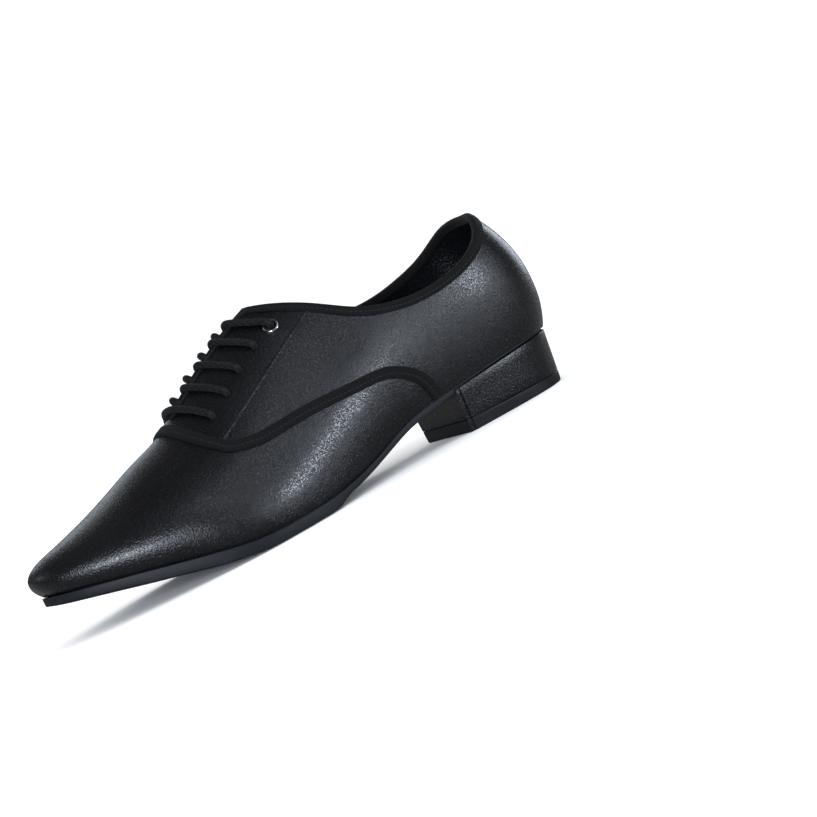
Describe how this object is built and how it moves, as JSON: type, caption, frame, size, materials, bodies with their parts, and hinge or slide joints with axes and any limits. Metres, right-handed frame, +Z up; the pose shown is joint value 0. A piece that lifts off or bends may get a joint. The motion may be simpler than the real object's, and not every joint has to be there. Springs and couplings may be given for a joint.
{
  "type": "ballroom dance shoe",
  "caption": "Left ballroom dance shoe in black leather with closed lacing, taped edges, a thin flexible sole with a forefoot tread pad, and a low block heel.",
  "frame": {"origin": "middle of the shoe's plan, on the floor that heel and forefoot stand on", "axes": "+X towards the toe, +Y towards the outer side of the left foot, +Z up"},
  "size_m": [0.2978, 0.0942, 0.1011],
  "materials": {
    "upper_leather": "satin",
    "tongue_leather": "satin",
    "sock_lining": "matt",
    "sole_rubber": "matt",
    "heel_cover": "satin",
    "lift_rubber": "matt",
    "binding_tape": "matt",
    "eyelet_metal": "bright",
    "lace_cord": "matt"
  },
  "bodies": {
    "root": {"upper": "upper_leather", "tongue": "tongue_leather", "insole": "sock_lining", "outsole": "sole_rubber", "heel_block": "heel_cover", "heel_lift": "lift_rubber", "collar_binding": "binding_tape", "quarter_binding": "binding_tape", "eyelet_lateral": "eyelet_metal", "eyelet_medial": "eyelet_metal", "lace_bar_1": "lace_cord", "lace_cross_2": "lace_cord", "lace_cross_3": "lace_cord", "lace_cross_4": "lace_cord", "lace_cross_5": "lace_cord"}
  },
  "joints": []
}
